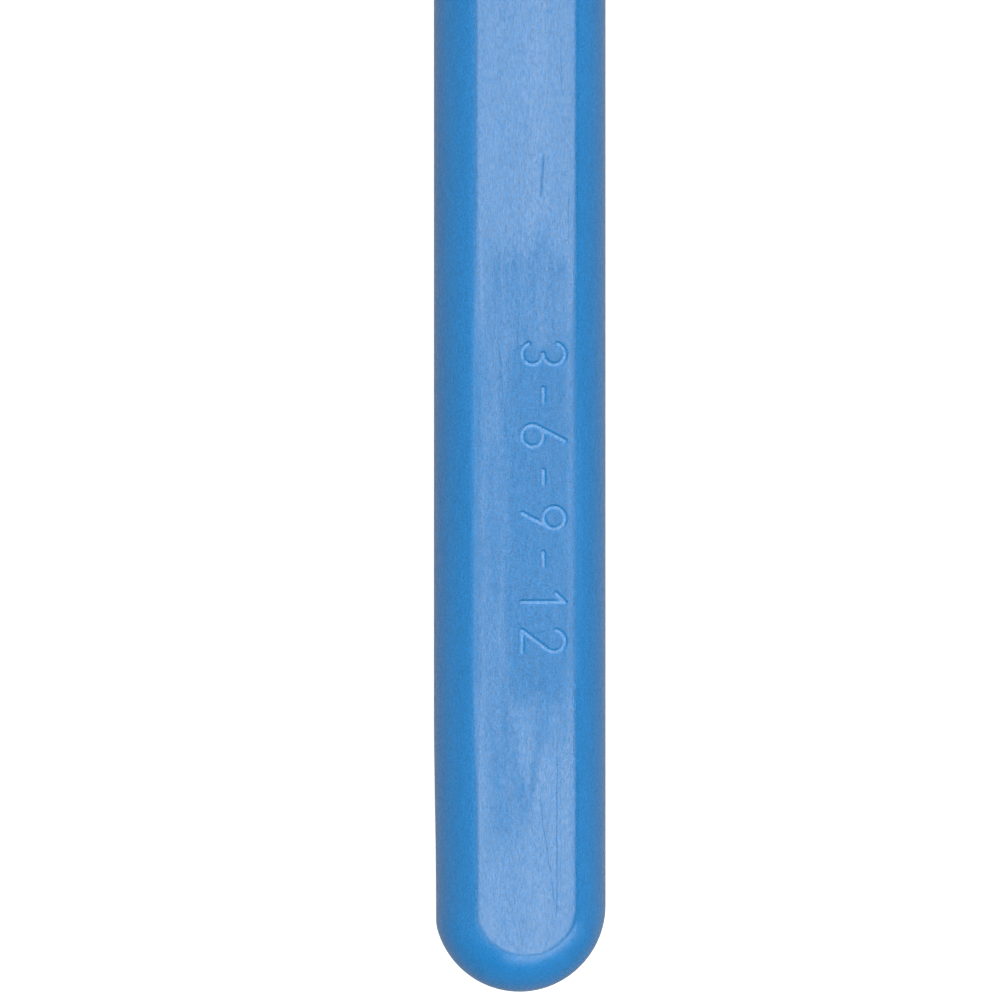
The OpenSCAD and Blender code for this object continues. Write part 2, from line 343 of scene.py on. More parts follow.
def figureLines():
    # Each figure's stroke as lines of points, in a cell one wide and two high, standing on its baseline.
    top, low = arcPoints((0.5, 1.5), 0.5, -35, 170), (0.5, 0.5)
    one = [np.array([[0.2, 1.6], [0.6, 2.0], [0.6, 0.0]])]
    two = [np.concatenate([top[::-1], [[0, 0], [1, 0]]])]
    three = [arcPoints(low, 0.5, -160, 90), arcPoints((0.5, 1.5), 0.5, -90, 160)]
    stem = arcPoints(low, 0.5, 160, 160)[:1]
    six = [arcPoints(low, 0.5, 0, 360), np.concatenate([stem, [[0.72, 2.0]]])]
    nine = [np.array([1, 2]) - line for line in six]
    dash = [np.array([[0.2, 1.0], [0.8, 1.0]])]
    return [three, dash, six, dash, nine, dash, one, two]


def legendSegments():
    # The strokes' straight pieces on the flat, read from nose to butt with their tops towards +X.
    half = legend["figureHeight"] / 2
    base = handle["flatWidth"] / 2 - legend["margin"] - legend["strokeWidth"] / 2 - legend["figureHeight"]
    pieces = []
    figures = figureLines()
    for cell, lines in enumerate(figures):
        for line in lines:
            x = base + line[:, 1] * half
            y = legendEnd + (len(figures) - cell) * legend["pitch"] - line[:, 0] * half
            place = np.column_stack([x, y])
            pieces.append(np.concatenate([place[:-1], place[1:]], axis=1))
    return np.concatenate(pieces)


def legendHeight(x, y):
    # How much of the relief stands at each point: 1 on a stroke's top and 0 past its foot, by the
    # distance to the nearest stroke. The distance to a segment is to its nearest point, start + t * run.
    segments = legendSegments()
    start, run = segments[:, :2], segments[:, 2:] - segments[:, :2]
    offset = np.stack([x, y], axis=-1)[:, None, :] - start
    t = np.clip(np.sum(offset * run, axis=-1) / np.maximum(np.sum(run ** 2, axis=-1), 1e-9), 0, 1)
    distance = np.min(np.linalg.norm(offset - t[..., None] * run, axis=-1), axis=1)
    return ease((legend["strokeFoot"] - distance) / (legend["strokeFoot"] - legend["strokeTop"]))


def cellsUnderFigures(mesh, low, high, flatLevel):
    # The numbers of the faces whose box overlaps the figures' and lies above the level given.
    corners, starts = np.empty(len(mesh.loops), np.int32), np.empty(len(mesh.polygons), np.int32)
    mesh.loops.foreach_get("vertex_index", corners)
    mesh.polygons.foreach_get("loop_start", starts)
    places = readPoints(mesh)[corners]
    lowest, highest = np.minimum.reduceat(places, starts), np.maximum.reduceat(places, starts)
    overlap = np.all((highest[:, :2] > low) & (lowest[:, :2] < high), axis=1)
    return np.flatnonzero(overlap & (lowest[:, 2] > flatLevel)).tolist()


def raiseLegend(piece):
    # Divides the skin's cells under the figures finely, then lifts their points.
    segments = legendSegments()
    low = np.minimum(segments[:, :2], segments[:, 2:]).min(0) - legend["strokeFoot"]
    high = np.maximum(segments[:, :2], segments[:, 2:]).max(0) + legend["strokeFoot"]
    flatLevel = thickness - 0.1
    mesh = piece.data
    chosen = cellsUnderFigures(mesh, low, high, flatLevel)
    cells = bmesh.new()
    cells.from_mesh(mesh)
    cells.faces.ensure_lookup_table()
    edges = dict.fromkeys(edge for number in chosen for edge in cells.faces[number].edges)
    bmesh.ops.subdivide_edges(cells, edges=list(edges), cuts=legend["cuts"], use_grid_fill=True)
    cells.to_mesh(mesh)
    cells.free()
    points = readPoints(mesh)
    near = (points[:, 2] > flatLevel) & np.all((points[:, :2] > low) & (points[:, :2] < high), axis=1)
    height = np.zeros(len(points))
    height[near] = legendHeight(points[near, 0], points[near, 1])
    points[:, 2] += legend["relief"] * height
    mesh.vertices.foreach_set("co", (points * metresPerMm).astype(np.float32).ravel())
    mesh.update()
    return points, height


# Each line of finish is set as a strength, its places, and the widths over which it fades.
finish = {
    "strongReach": (9.0, 1.6, 2.6),  # along from the figures' middle, more towards the butt, fade
    "strongAcross": (0.5, 1.95, 0.9),  # middle, reach, fade
    "weakHaze": (0.58, 0.05, 10.0),  # strength, how much less towards the butt, over this length
    "noseReach": (12.9, 0.6, 2.1, 1.2),  # reach, height and pace of the waves in its edge, fade
    "tail": (17.4, 4.6, -0.4, 1.5, 3.0),  # reach, how much less to the right of here, over this, fade
    "clearRim": (2.2, 0.4, 9.5, 2.0),  # reach and fade across, then along
    "tongue": (0.7, -0.2, 0.35, -11.2, 1.9),  # strength, place and width across, then along
    "vee": (0.24, -0.05, 0.18, -14.4, 0.13),  # strength, middle, spread, point, half width
    "veeEnds": (-14.8, 0.8, -9.0, 1.5),
    "band": (0.45, 0.55, 0.4, 4.0),  # place across, width, how much weaker at the swing, over this
    "swing": (0.9, 8.0, 3.5),  # how far the band swings out, where, over this
    "lines": [(0.4, 1.88, 0.16), (0.35, -1.66, 0.2)],
    "crescent": (0.5, 0.35, 0.75),
    "strip": (0.7, 1.95, 0.12),
    "mostSheen": 1.2,
}


def hazeOnHandle(points, height):
    # Where the mould was worked for the figures the flat is duller, and its strokes' own tops are not. A
    # strong patch lies over the figures, and a weaker one round it runs out sharply towards the nose and
    # in a long tail, to the left, towards the butt. The larger of the two holds, less a brighter tongue,
    # and a narrow V is added round the tongue.
    x, y = points[:, 0], points[:, 1]
    toNose = y - legendMiddle
    away, onNoseSide = np.abs(toNose), toNose > 0
    reach, more, fade = finish["strongReach"]
    middle, side, sideFade = finish["strongAcross"]
    strong = ease((reach + more * (toNose < 0) - away) / fade) * ease((side - np.abs(x - middle)) / sideFade)
    noseReach, waves, pace, noseFade = finish["noseReach"]
    tail, less, start, over, tailFade = finish["tail"]
    reach = np.where(onNoseSide, noseReach + waves * np.sin(pace * x), tail - less * ease((x - start) / over))
    fade = np.where(onNoseSide, noseFade, tailFade)
    side, sideFade, along, alongFade = finish["clearRim"]
    rim = np.maximum(ease((side - np.abs(x)) / sideFade), ease((along - away) / alongFade))
    amount, fall, length = finish["weakHaze"]
    weak = (amount - fall * ease(-toNose / length)) * ease((reach - away) / fade) * rim
    amount, middle, width, along, length = finish["tongue"]
    tongue = amount * hill(x - middle, width) * hill(toNose - along, length)
    amount, middle, spread, point, width = finish["vee"]
    start, startFade, stop, stopFade = finish["veeEnds"]
    arms = hill(np.abs(x - middle) - spread * (toNose - point), width)
    vee = amount * arms * ease((toNose - start) / startFade) * ease((stop - toNose) / stopFade)
    onFlat = points[:, 2] > thickness - 0.15
    return (np.maximum(strong, weak) * (1 - tongue) + vee) * onFlat * (1 - height)


def sheenOnHandle(points, haze):
    # Outside the haze the flat shines a little more in a band that wanders along it, in a line inside
    # each edge, and in a crescent round its end at the butt, each of them a hill of the distance to it.
    # It shines a little less in a strip along its right edge.
    x, y = points[:, 0], points[:, 1]
    fromButt = y - handle["buttEnd"]
    place, width, weaker, over = finish["band"]
    swing, middle, length = finish["swing"]
    wander = place + swing * hill(fromButt - middle, length)
    band = hill(x - wander, width) * (1 - weaker * hill(fromButt - middle, over))
    lines = sum(amount * hill(x - place, width) for amount, place, width in finish["lines"])
    fromCentre = np.where(fromButt < handleHalf, np.hypot(x, fromButt - handleHalf), 0)
    amount, inside, width = finish["crescent"]
    crescent = amount * hill(fromCentre - handle["flatWidth"] / 2 + inside, width) * (fromCentre > 0)
    amount, place, width = finish["strip"]
    shine = np.clip(np.maximum(band, crescent) + lines, 0, finish["mostSheen"])
    return (shine - amount * ease((x - place) / width)) * (1 - haze)


def flatShare(points, height):
    # Where the flats' painted shade falls: 1 on the two flats and 0 on the sides, by the height above or below
    # mid thickness, and 0 on the figures, whose tops are so left paler than the flat, a painted highlight.
    middle = thickness / 2
    return ease((np.abs(points[:, 2] - middle) - middle + 0.09) / 0.07) * (1 - height)


def buildHandle():
    points, quads = handleSkin()
    piece = makePiece("handleMoulding", points, quads)
    points, height = raiseLegend(piece)
    haze = hazeOnHandle(points, height)
    # The painted shade share says where the flats are coloured darker, as painted shade.
    for name, values in [("haze", haze), ("sheen", sheenOnHandle(points, haze)),
                         ("flatShare", flatShare(points, height))]:
        layer = piece.data.attributes.new(name, "FLOAT", "POINT")
        layer.data.foreach_set("value", values.astype(np.float32))
    piece.data.shade_smooth()
    piece.data.set_sharp_from_angle(angle=math.radians(50))
    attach(piece, "root")
    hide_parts("handle")
    return piece


# The steel, from the tang in the handle to the ball at the tip.

steel = {
    "shankRadius": 1.3,
    "tangLength": 34.0,
    "tangGrooveRadius": 1.0,
    "tangGrooveWidth": 1.2,
    "tangGroovePitch": 2.6,
    "tangGrooves": 3,
    "tangFlatDistance": 0.95,
    "tangFlatLength": 9.0,
    "tangChamfer": 0.15,
    "tangPlain": 6.0,  # its last stretch, without grooves
    "neckLength": 11.0,
    "neckRadius": 0.95,
    "firstBend": -20.0,  # degrees, away from the tip's side
    "firstBendRadius": 10.0,
    "armLength": 9.5,
    "armRadius": 0.625,
    "secondBend": 75.0,
    "secondBendRadius": 3.2,
    "tipLength": 16.0,
    "tipRadius": 0.21,
    "ballRadius": 0.275,
    "ballBlend": 0.05,
    "markStep": 3.0,
    "bandedFrom": [1, 3],  # each band runs from this mark to the next
    "bandDepth": 0.06,
    "bandGap": 0.005,
    "bandRound": 0.012,
    "aroundCount": 56,
    "taperBlend": 1.6,  # length over which one taper runs into the next
}


def steelLengths():
    # Distances along the wire from the tang's inner end: where each stretch ends.
    firstBend = math.radians(abs(steel["firstBend"])) * steel["firstBendRadius"]
    secondBend = math.radians(steel["secondBend"]) * steel["secondBendRadius"]
    return np.cumsum([steel["tangLength"], steel["neckLength"], firstBend, steel["armLength"], secondBend,
                      steel["tipLength"]])


def steelRoute(s):
    # The wire's middle line lies in one plane at mid thickness. Its heading is the sum of curvature
    # along it, and its place the sum of the heading's sine and cosine. Returns place and sideways.
    neckEnd, firstEnd, armEnd, secondEnd, tipEnd = steelLengths()[1:]
    fine = np.linspace(0, tipEnd, 40001)
    heading = np.radians(np.interp(fine, [neckEnd, firstEnd, armEnd, secondEnd],
                                   [0, steel["firstBend"], steel["firstBend"],
                                    steel["firstBend"] + steel["secondBend"]]))
    gap = fine[1]
    middle = (heading[1:] + heading[:-1]) / 2
    x = np.concatenate([[0], np.cumsum(np.sin(middle)) * gap])
    y = np.concatenate([[0], np.cumsum(np.cos(middle)) * gap]) + handle["noseEnd"] - steel["tangLength"]
    at = [np.interp(s, fine, values) for values in (x, y, heading)]
    place = np.stack([at[0], at[1], np.full_like(at[0], thickness / 2)], axis=-1)
    sideways = np.stack([np.cos(at[2]), -np.sin(at[2]), np.zeros_like(at[2])], axis=-1)
    return place, sideways


def plainRadius(s):
    # Straight tapers between the stretches' ends, run into each other by averaging over a short length,
    # but not at the nose or along the tip.
    ends = steelLengths()
    radii = [steel[name] for name in ("shankRadius", "neckRadius", "neckRadius", "armRadius", "armRadius",
                                      "tipRadius")]
    sharp = np.interp(s, ends, radii)
    offsets = np.linspace(-0.5, 0.5, 21)[:, None] * steel["taperBlend"]
    soft = np.interp(s + offsets, ends, radii).mean(0)
    return np.where((s > ends[0] + 0.9) & (s < ends[4] + 1), soft, sharp)


def steelProfile():
    # Rows of [distance along, radius] from the tang's inner end to the ball, with the tang's grooves
    # and the bands' recesses as steps. At the ball, the larger of taper and ball, softly joined.
    nose, neckEnd, firstEnd, armEnd, secondEnd, tipEnd = steelLengths()
    radius = steel["shankRadius"]
    chamfer = steel["tangChamfer"]
    rows = [[0, 0], [0, radius - chamfer], [chamfer, radius], [steel["tangFlatLength"], radius],
            [steel["tangFlatLength"] + 0.001, radius]]
    for groove in range(1, steel["tangGrooves"] + 1):
        start = steel["tangFlatLength"] + groove * steel["tangGroovePitch"]
        stop = start + steel["tangGrooveWidth"]
        deep = steel["tangGrooveRadius"]
        rows += [[start, radius], [start, deep], [stop, deep], [stop, radius]]
    run = np.concatenate([steps(nose - steel["tangPlain"], neckEnd, 0.5),
                          steps(neckEnd, firstEnd, 0.25)[1:], steps(firstEnd, armEnd, 0.4)[1:],
                          steps(armEnd, secondEnd, 0.16)[1:]])
    parts = [np.array(rows, float), np.column_stack([run, plainRadius(run)])]
    ballCentre = tipEnd - steel["ballRadius"]
    at = secondEnd
    for mark in steel["bandedFrom"][::-1]:
        start, stop = tipEnd - (mark + 1) * steel["markStep"], tipEnd - mark * steel["markStep"]
        plain = steps(at, start, 0.25)[1:]
        inside = steps(start, stop, 0.3)
        parts += [np.column_stack([plain, plainRadius(plain)]),
                  np.column_stack([inside, plainRadius(inside) - steel["bandDepth"]])]
        at = stop
        parts.append(np.column_stack([[stop], plainRadius(np.array([stop]))]))
    nearBall = ballCentre - 0.4
    plain = np.concatenate([steps(at, nearBall, 0.2)[1:], steps(nearBall, ballCentre, 0.02)[1:]])
    ball = np.sqrt(np.clip(steel["ballRadius"] ** 2 - (plain - ballCentre) ** 2, 0, None))
    parts.append(np.column_stack([plain, -softMin(-plainRadius(plain), -ball, steel["ballBlend"])]))
    turn = np.linspace(0, np.pi / 2, 14)[1:]
    parts.append(np.column_stack([ballCentre + steel["ballRadius"] * np.sin(turn),
                                  steel["ballRadius"] * np.cos(turn)]))
    return np.concatenate(parts)


def sweptTube(profile, flatUpTo=-1.0, closeProfile=False):
    # A round tube: place + radius * (cosine * sideways + sine * up), its sides held to the tang's
    # flats where they are. The UV map holds distance along and distance round, in millimetres.
    if closeProfile:
        profile = np.concatenate([profile, profile[:1]])
    s, radius = profile[:, 0], profile[:, 1]
    place, sideways = steelRoute(s)
    angle = np.linspace(0, 2 * np.pi, steel["aroundCount"] + 1)
    across = radius[:, None] * np.cos(angle)
    held = np.clip(across, -steel["tangFlatDistance"], steel["tangFlatDistance"])
    across = np.where(s[:, None] <= flatUpTo, held, across)
    up = np.array([0, 0, 1.0])
    points = place[:, None, :] + across[..., None] * sideways[:, None, :] \
        + (radius[:, None] * np.sin(angle))[..., None] * up
    around = np.broadcast_to(angle * steel["armRadius"], across.shape)
    uv = np.stack([np.broadcast_to(s[:, None], across.shape), around], axis=-1)
    return points.reshape(-1, 3), gridFaces(*across.shape), uv.reshape(-1, 2)


def buildShank():
    points, quads, uv = sweptTube(steelProfile(), steel["tangFlatLength"])
    piece = makePiece("steelShank", points, quads, uv, 30)
    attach(piece, "root")
    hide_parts("probe_shank")
    return piece


def buildBand(mark, cadName):
    # A thin sleeve in its recess: its outside follows the taper and its ends are slightly rounded.
    tipEnd = steelLengths()[-1]
    start = tipEnd - (mark + 1) * steel["markStep"] + steel["bandGap"]
    stop = tipEnd - mark * steel["markStep"] - steel["bandGap"]
    along = np.concatenate([[start, start + 0.006, start + 0.02], steps(start + 0.1, stop - 0.1, 0.3),
                            [stop - 0.02, stop - 0.006, stop]])
    rounding = steel["bandRound"] * ease(1 - np.minimum(along - start, stop - along) / 0.02)
    outside = np.column_stack([along, plainRadius(along) - rounding])
    within = steps(stop, start, 0.5)
    inside = np.column_stack([within, plainRadius(within) - steel["bandDepth"] + steel["bandGap"]])
    points, quads, uv = sweptTube(np.concatenate([outside, inside]), closeProfile=True)
    piece = makePiece("band_" + cadName.split("band_")[1], points, quads, uv, 35)
    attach(piece, "root")
    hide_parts(cadName)
    return piece


# The materials.

def node(tree, kind, settings=None, **inputs):
    # Adds a shader node. Settings are its properties, and inputs are numbers, or sockets to link from,
    # by the input's name or as in0, in1 and so on by its place.
    made = tree.nodes.new("ShaderNode" + kind)
    for key, value in (settings or {}).items():
        setattr(made, key, value)
    for key, value in inputs.items():
        socket = made.inputs[int(key[2:])] if key.startswith("in") and key[2:].isdigit() else made.inputs[key]
        if isinstance(value, bpy.types.NodeSocket):
            tree.links.new(value, socket)
        else:
            socket.default_value = value
    return made


def result(*given, **inputs):
    # The first output of a new node.
    return node(*given, **inputs).outputs[0]


def groupNode(tree, group, **inputs):
    return result(tree, "Group", {"node_tree": group}, **inputs)


def calculate(tree, operation, a, b, clamp=False):
    return result(tree, "Math", {"operation": operation, "use_clamp": clamp}, in0=a, in1=b)


def plus(tree, a, b, clamp=False):
    return calculate(tree, "ADD", a, b, clamp)


def minus(tree, a, b, clamp=False):
    return calculate(tree, "SUBTRACT", a, b, clamp)


def times(tree, a, b, clamp=False):
    return calculate(tree, "MULTIPLY", a, b, clamp)


def mixed(tree, share, low, high):
    # Straight mix of two numbers by a share, which is held between 0 and 1.
    return result(tree, "MapRange", Value=share, in3=low, in4=high)


def smoothStep(tree, value, start, stop):
    # 0 at start and 1 at stop, eased at both ends.
    return result(tree, "MapRange", {"interpolation_type": "SMOOTHSTEP"}, Value=value, in1=start, in2=stop)


def blended(tree, share, first, second):
    # Straight mix of two colours.
    return node(tree, "Mix", {"data_type": "RGBA"}, Factor=share, in6=first, in7=second).outputs[2]


def addBump(tree, shader, height, distance):
    bump = result(tree, "Bump", Height=height, Distance=distance, Strength=1.0)
    tree.links.new(bump, shader.inputs["Normal"])


def newGroup(name, inputs, output):
    # Inputs are names with the numbers they start from, and None for a place.
    group = bpy.data.node_groups.new(name, "ShaderNodeTree")
    for label, value in inputs.items():
        kind = "NodeSocketVector" if value is None else "NodeSocketFloat"
        socket = group.interface.new_socket(name=label, in_out="INPUT", socket_type=kind)
        if value is not None:
            socket.default_value = value
    group.interface.new_socket(name=output, in_out="OUTPUT", socket_type="NodeSocketFloat")
    return group, group.nodes.new("NodeGroupInput").outputs, group.nodes.new("NodeGroupOutput").inputs[output]


def stretchedPlace(group, given):
    # The place, counted in cells Across by Along by Across.
    scale = result(group, "CombineXYZ", X=given["Across"], Y=given["Along"], Z=given["Across"])
    return result(group, "VectorMath", {"operation": "MULTIPLY"}, in0=given["Place"], in1=scale)


def grainGroup():
    # Fine streaks drawn out along the second coordinate, as polishing leaves them: 0 to 1.
    group, given, output = newGroup(
        "drawnGrain", {"Place": None, "Across": 4.0, "Along": 0.15, "Contrast": 1.0}, "Grain")
    noise = result(group, "TexNoise", Vector=stretchedPlace(group, given), Scale=1.0, Detail=4.0,
                   Roughness=0.6)
    centred = minus(group, noise, 0.5)
    wider = times(group, centred, given["Contrast"])
    group.links.new(plus(group, wider, 0.5, clamp=True), output)
    return group


def scratchGroup():
    # Sparse hairlines: the narrow band where a stretched noise crosses its middle, broken up by a cloud.
    group, given, output = newGroup(
        "hairlines", {"Place": None, "Across": 1.2, "Along": 0.08, "Width": 0.012, "Amount": 0.5}, "Line")
    noise = result(group, "TexNoise", Vector=stretchedPlace(group, given), Scale=1.0, Detail=1.0,
                   Distortion=0.4)
    size = calculate(group, "ABSOLUTE", minus(group, noise, 0.5), 0.0)
    line = minus(group, 1.0, calculate(group, "DIVIDE", size, given["Width"]), clamp=True)
    cloud = result(group, "TexNoise", Vector=given["Place"], Scale=0.35, Detail=2.0)
    both = times(group, line, smoothStep(group, cloud, 0.5, 0.62))
    group.links.new(times(group, both, given["Amount"]), output)
    return group


def pitGroup():
    # Scattered pin-point pits: 1 at the middle of a few random cells and 0 elsewhere.
    group, given, output = newGroup("pinPits", {"Place": None, "Density": 1.0, "Size": 0.1}, "Pit")
    cells = node(group, "TexVoronoi", {"feature": "F1"}, Vector=given["Place"], Scale=given["Density"])
    share = calculate(group, "DIVIDE", cells.outputs["Distance"], given["Size"])
    dot = minus(group, 1.0, share, clamp=True)
    chance = result(group, "SeparateColor", in0=cells.outputs["Color"])
    chosen = calculate(group, "GREATER_THAN", chance, 0.55)
    group.links.new(times(group, dot, chosen), output)
    return group


def emptyTree(owner):
    # The node tree of a material or a world, cleared.
    owner.use_nodes = True
    owner.node_tree.nodes.clear()
    return owner.node_tree


def newMaterial(name):
    material = bpy.data.materials.new(name)
    tree = emptyTree(material)
    shader = node(tree, "BsdfPrincipled")
    node(tree, "OutputMaterial", Surface=shader.outputs[0])
    return material, tree, shader


def objectPlace(tree):
    # Object coordinates, turned from metres into millimetres.
    coordinates = node(tree, "TexCoord")
    return result(tree, "VectorMath", {"operation": "SCALE"}, in0=coordinates.outputs["Object"],
                  Scale=1 / metresPerMm)


plasticLook = {
    "colour": (0.0125, 0.206, 0.528, 1),
    "paleColour": (0.017, 0.22, 0.563, 1),
    # Grains, as cells per millimetre across and along, and contrast: fine, middle, broad and speckle.
    "grains": [(15.0, 3.2, 3.2), (3.6, 0.35, 2.0), (0.9, 0.16, 2.2), (19.0, 16.0, 2.6)],
    "speckle": 0.38,  # how much the pigment's fine speckle changes the brightness
    "flatShade": 0.86,  # painted shade: the flats are coloured a shade darker than the sides, against the extra overhead light they catch
    "ior": 1.49,
    "roughness": 0.27,
    "streakRoughness": 0.07,  # how far the middle grain moves the roughness up and down
    "grainRoughness": 0.08,  # the same for the fine grain
    "wornRoughness": 0.32,  # how much rougher marks, hairlines and pits are
    "wornShade": 0.1,  # and how much darker they are coloured, a painted shade for the softbox reflection their grooves lose
    "shine": 0.5,
    "skinShine": 0.37,  # the smooth moulded skin over it, as a coat
    "hazedSkinShine": 0.13,
    "sheenGain": 1.5,  # how much shinier the flat's brighter bands are
    "hazeRoughness": 0.28,
    "hazeTearing": 0.3,  # how far streaks break the edge of the haze up
    "grainBump": 0.000003,
    # Handling marks on the front flat: across, start and end along, slant, half width, depth.
    "marks": [(0.6, -53.3, -58.5, -0.134, 0.04, 0.8), (1.42, -50.6, -59.2, 0.005, 0.05, 0.9),
              (1.57, -52.0, -58.6, 0.0, 0.03, 0.5), (0.78, -23.5, -25.8, 0.05, 0.1, 0.9),
              (1.62, -17.9, -20.9, 0.01, 0.04, 0.6), (-0.95, -27.2, -28.7, -0.4, 0.05, 0.5),
              (-1.35, -32.0, -37.4, -0.085, 0.05, 0.5), (1.95, -25.0, -28.0, 0.0, 0.05, 0.6)],
}


def markGroup():
    # One scratch on the front flat. Its middle line is x = across + slant * (y - start) + a small wander,
    # and it fades at both ends and past its half width.
    group, given, output = newGroup("handlingMark", {
        "Place": None, "Across": 0.0, "Start": 0.0, "End": 1.0, "Slant": 0.0, "HalfWidth": 0.05,
        "Depth": 1.0}, "Mark")
    axes = node(group, "SeparateXYZ", in0=given["Place"])
    along = minus(group, axes.outputs[1], given["Start"])
    noise = result(group, "TexNoise", Vector=given["Place"], Scale=0.8, Detail=2.0)
    wander = times(group, minus(group, noise, 0.5), 0.2)
    line = plus(group, times(group, along, given["Slant"]), given["Across"])
    offset = minus(group, axes.outputs[0], plus(group, line, wander))
    near = calculate(group, "DIVIDE", calculate(group, "ABSOLUTE", offset, 0.0), given["HalfWidth"])
    left = minus(group, axes.outputs[1], given["End"])
    ends = times(group, smoothStep(group, along, 0.0, -0.5), smoothStep(group, left, 0.0, 0.5))
    whole = times(group, smoothStep(group, near, 1.0, 0.0), ends)
    front = calculate(group, "GREATER_THAN", axes.outputs[2], thickness - 0.2)
    deep = times(group, whole, given["Depth"])
    group.links.new(times(group, deep, front), output)
    return group


def plasticMaterial(groups):
    # Moulded polypropylene: one pigment with faint flow clouds and speckle, a finish drawn lengthwise, a
    # duller streaky patch round the legend, painted shade that darkens the flats, and a few handling marks
    # that dull the shine and are painted darker as shade.
    material, tree, shader = newMaterial("mouldedBluePlastic")
    look = plasticLook
    place = objectPlace(tree)
    fine, middle, broad, speckle = (
        groupNode(tree, groups["grain"], Place=place, Across=across, Along=along, Contrast=contrast)
        for across, along, contrast in look["grains"])
    # The first attribute is where the flats' painted shade falls.
    onFlat, patch, sheen = (node(tree, "Attribute", {"attribute_name": name}).outputs["Fac"]
                            for name in ("flatShare", "haze", "sheen"))
    lines = groupNode(tree, groups["hairlines"], Place=place, Across=2.6, Along=0.16, Width=0.012,
                      Amount=0.45)
    pits = groupNode(tree, groups["pits"], Place=place, Density=1.4, Size=0.07)
    worn = plus(tree, lines, pits)
    for across, start, end, slant, halfWidth, depth in look["marks"]:
        mark = groupNode(tree, groups["mark"], Place=place, Across=across, Start=start, End=end, Slant=slant,
                         HalfWidth=halfWidth, Depth=depth)
        worn = plus(tree, worn, mark)
    colour = blended(tree, broad, look["colour"], look["paleColour"])
    # Painted shade: the colour is darkened on the flats by their painted shade share.
    shade = mixed(tree, onFlat, 1.0, look["flatShade"])
    # The speckle is the pigment's own; the marks' darkening is painted shade for the reflection they lose.
    for part in [mixed(tree, speckle, 1 - look["speckle"], 1 + look["speckle"]),
                 mixed(tree, worn, 1.0, 1 - look["wornShade"])]:
        shade = times(tree, shade, part)
    shaded = result(tree, "VectorMath", {"operation": "SCALE"}, in0=colour, Scale=shade)
    tree.links.new(shaded, shader.inputs["Base Color"])
    # The haze's smooth patch is torn by lengthwise streaks, but only where there is some haze to tear.
    tear = minus(tree, plus(tree, broad, middle), 1.0)
    tear = times(tree, tear, look["hazeTearing"])
    tear = times(tree, tear, times(tree, patch, 4.0, clamp=True))
    torn = smoothStep(tree, plus(tree, patch, tear), 0.0, 1.05)
    # Roughness is the sum of the haze, the streaks, the drawn grain and what is worn.
    roughness = look["roughness"]
    for part in [times(tree, torn, look["hazeRoughness"]),
                 mixed(tree, middle, -look["streakRoughness"], look["streakRoughness"]),
                 mixed(tree, fine, -look["grainRoughness"], look["grainRoughness"]),
                 times(tree, worn, look["wornRoughness"])]:
        roughness = plus(tree, part, roughness)
    tree.links.new(roughness, shader.inputs["Roughness"])
    # The skin's shine is the product of its share in the haze, the drawn grain, the sheen and what is
    # left unworn.
    skin = mixed(tree, torn, look["skinShine"], look["hazedSkinShine"])
    for part in [mixed(tree, fine, 1.7, 0.3), mixed(tree, sheen, 1.0, look["sheenGain"]),
                 mixed(tree, worn, 1.0, 0.2)]:
        skin = times(tree, skin, part)
    tree.links.new(skin, shader.inputs["Coat Weight"])
    for name, value in [("Specular IOR Level", look["shine"]), ("IOR", look["ior"]), ("Coat IOR", look["ior"]),
                        ("Coat Roughness", look["roughness"])]:
        shader.inputs[name].default_value = value
    addBump(tree, shader, fine, look["grainBump"])
    return material


steelLook = {
    "darkColour": (0.40, 0.41, 0.425, 1),
    "paleColour": (0.53, 0.535, 0.545, 1),
    "roughness": (0.26, 0.46),  # from the grain's lows to its highs
    "bump": 0.000006,
}


def steelMaterial(groups):
    # Satin-polished stainless wire: grain drawn along it, hairlines, and slightly warmer and cooler patches.
    material, tree, shader = newMaterial("satinStainless")
    uv = result(tree, "UVMap", {"uv_map": "alongSurface"})
    turned = result(tree, "Mapping", Vector=uv, Rotation=(0, 0, math.pi / 2))
    grain = groupNode(tree, groups["grain"], Place=turned, Across=14.0, Along=0.5, Contrast=1.6)
    lines = groupNode(tree, groups["hairlines"], Place=turned, Across=3.0, Along=0.2, Width=0.02, Amount=0.6)
    colour = blended(tree, grain, steelLook["darkColour"], steelLook["paleColour"])
    tree.links.new(colour, shader.inputs["Base Color"])
    rough = plus(tree, mixed(tree, grain, *steelLook["roughness"]), times(tree, lines, 0.15))
    tree.links.new(rough, shader.inputs["Roughness"])
    relief = minus(tree, times(tree, grain, 0.5), lines)
    addBump(tree, shader, relief, steelLook["bump"])
    shader.inputs["Metallic"].default_value = 1.0
    return material


bandLook = {
    "darkColour": (0.008, 0.008, 0.009, 1),
    "paleColour": (0.02, 0.02, 0.022, 1),
    "roughness": (0.34, 0.55),
    "bump": 0.000008,
}


def bandMaterial(groups):
    # Black epoxy rubbed flush: nearly matt, with pin-point pits and worn lighter in faint streaks.
    material, tree, shader = newMaterial("blackEpoxy")
    place = objectPlace(tree)
    grain = groupNode(tree, groups["grain"], Place=place, Across=6.0, Along=6.0, Contrast=2.0)
    pits = groupNode(tree, groups["pits"], Place=place, Density=9.0, Size=0.25)
    colour = blended(tree, grain, bandLook["darkColour"], bandLook["paleColour"])
    tree.links.new(colour, shader.inputs["Base Color"])
    tree.links.new(mixed(tree, grain, *bandLook["roughness"]), shader.inputs["Roughness"])
    relief = minus(tree, times(tree, grain, 0.4), pits)
    addBump(tree, shader, relief, bandLook["bump"])
    return material


# Stage, light and camera.

